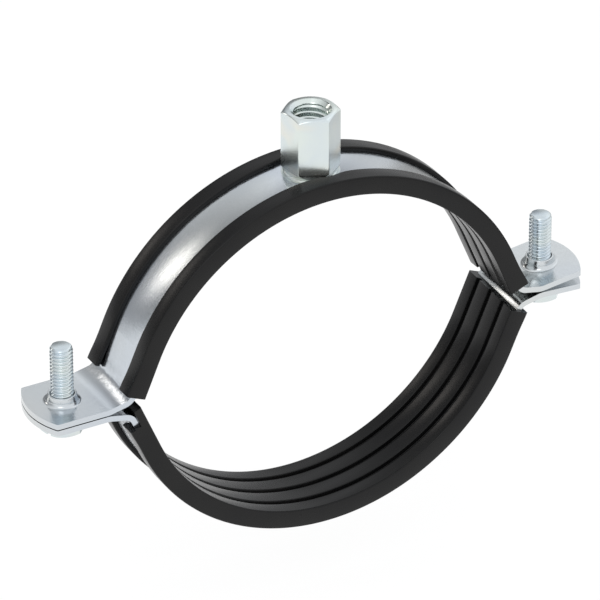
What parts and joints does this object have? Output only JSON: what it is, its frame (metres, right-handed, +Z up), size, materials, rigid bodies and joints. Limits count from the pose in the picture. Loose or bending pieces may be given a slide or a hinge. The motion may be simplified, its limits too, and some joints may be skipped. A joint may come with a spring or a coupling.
{
  "type": "rubber lined pipe clamp",
  "caption": "Split pipe hanger clamp: zinc-plated band halves with ribbed rubber lining, ear screws in tapped collars and a welded hexagonal hanger nut on top.",
  "frame": {"origin": "centre of the upper half's pipe seat, at mid width", "axes": "X across the two ears, Y along the pipe, Z up through the hanger nut"},
  "size_m": [0.1555, 0.022, 0.1142],
  "materials": {
    "band_zinc": "bright zinc plate on rolled strip",
    "fastener_zinc": "bright zinc plate, faintly iridescent",
    "lining_rubber": "satin black moulded rubber"
  },
  "bodies": {
    "upper_half": {"upper_band": "band_zinc", "upper_liner": "lining_rubber", "hanger_nut": "fastener_zinc"},
    "lower_half": {"lower_band": "band_zinc", "lower_liner": "lining_rubber"},
    "left_clamp_screw": {"left_screw": "fastener_zinc"},
    "right_clamp_screw": {"right_screw": "fastener_zinc"}
  },
  "joints": [
    {"name": "left_screw_turn", "type": "hinge", "parent": "lower_half", "child": "left_clamp_screw", "pos_m": [-0.06998, 0, 0], "axis": [0, 0, -1], "range_deg": [0, 4680]},
    {"name": "right_screw_turn", "type": "hinge", "parent": "lower_half", "child": "right_clamp_screw", "pos_m": [0.06728, 0, 0], "axis": [0, 0, -1], "range_deg": [0, 4680]},
    {"name": "halves_part", "type": "slide", "parent": "upper_half", "child": "lower_half", "axis": [0, 0, -1], "range_m": [0, 0.013]}
  ],
  "couplings": [
    {"joint": "left_screw_turn", "follows": "halves_part", "rad_per_m": 6283.2},
    {"joint": "right_screw_turn", "follows": "halves_part", "rad_per_m": 6283.2}
  ]
}
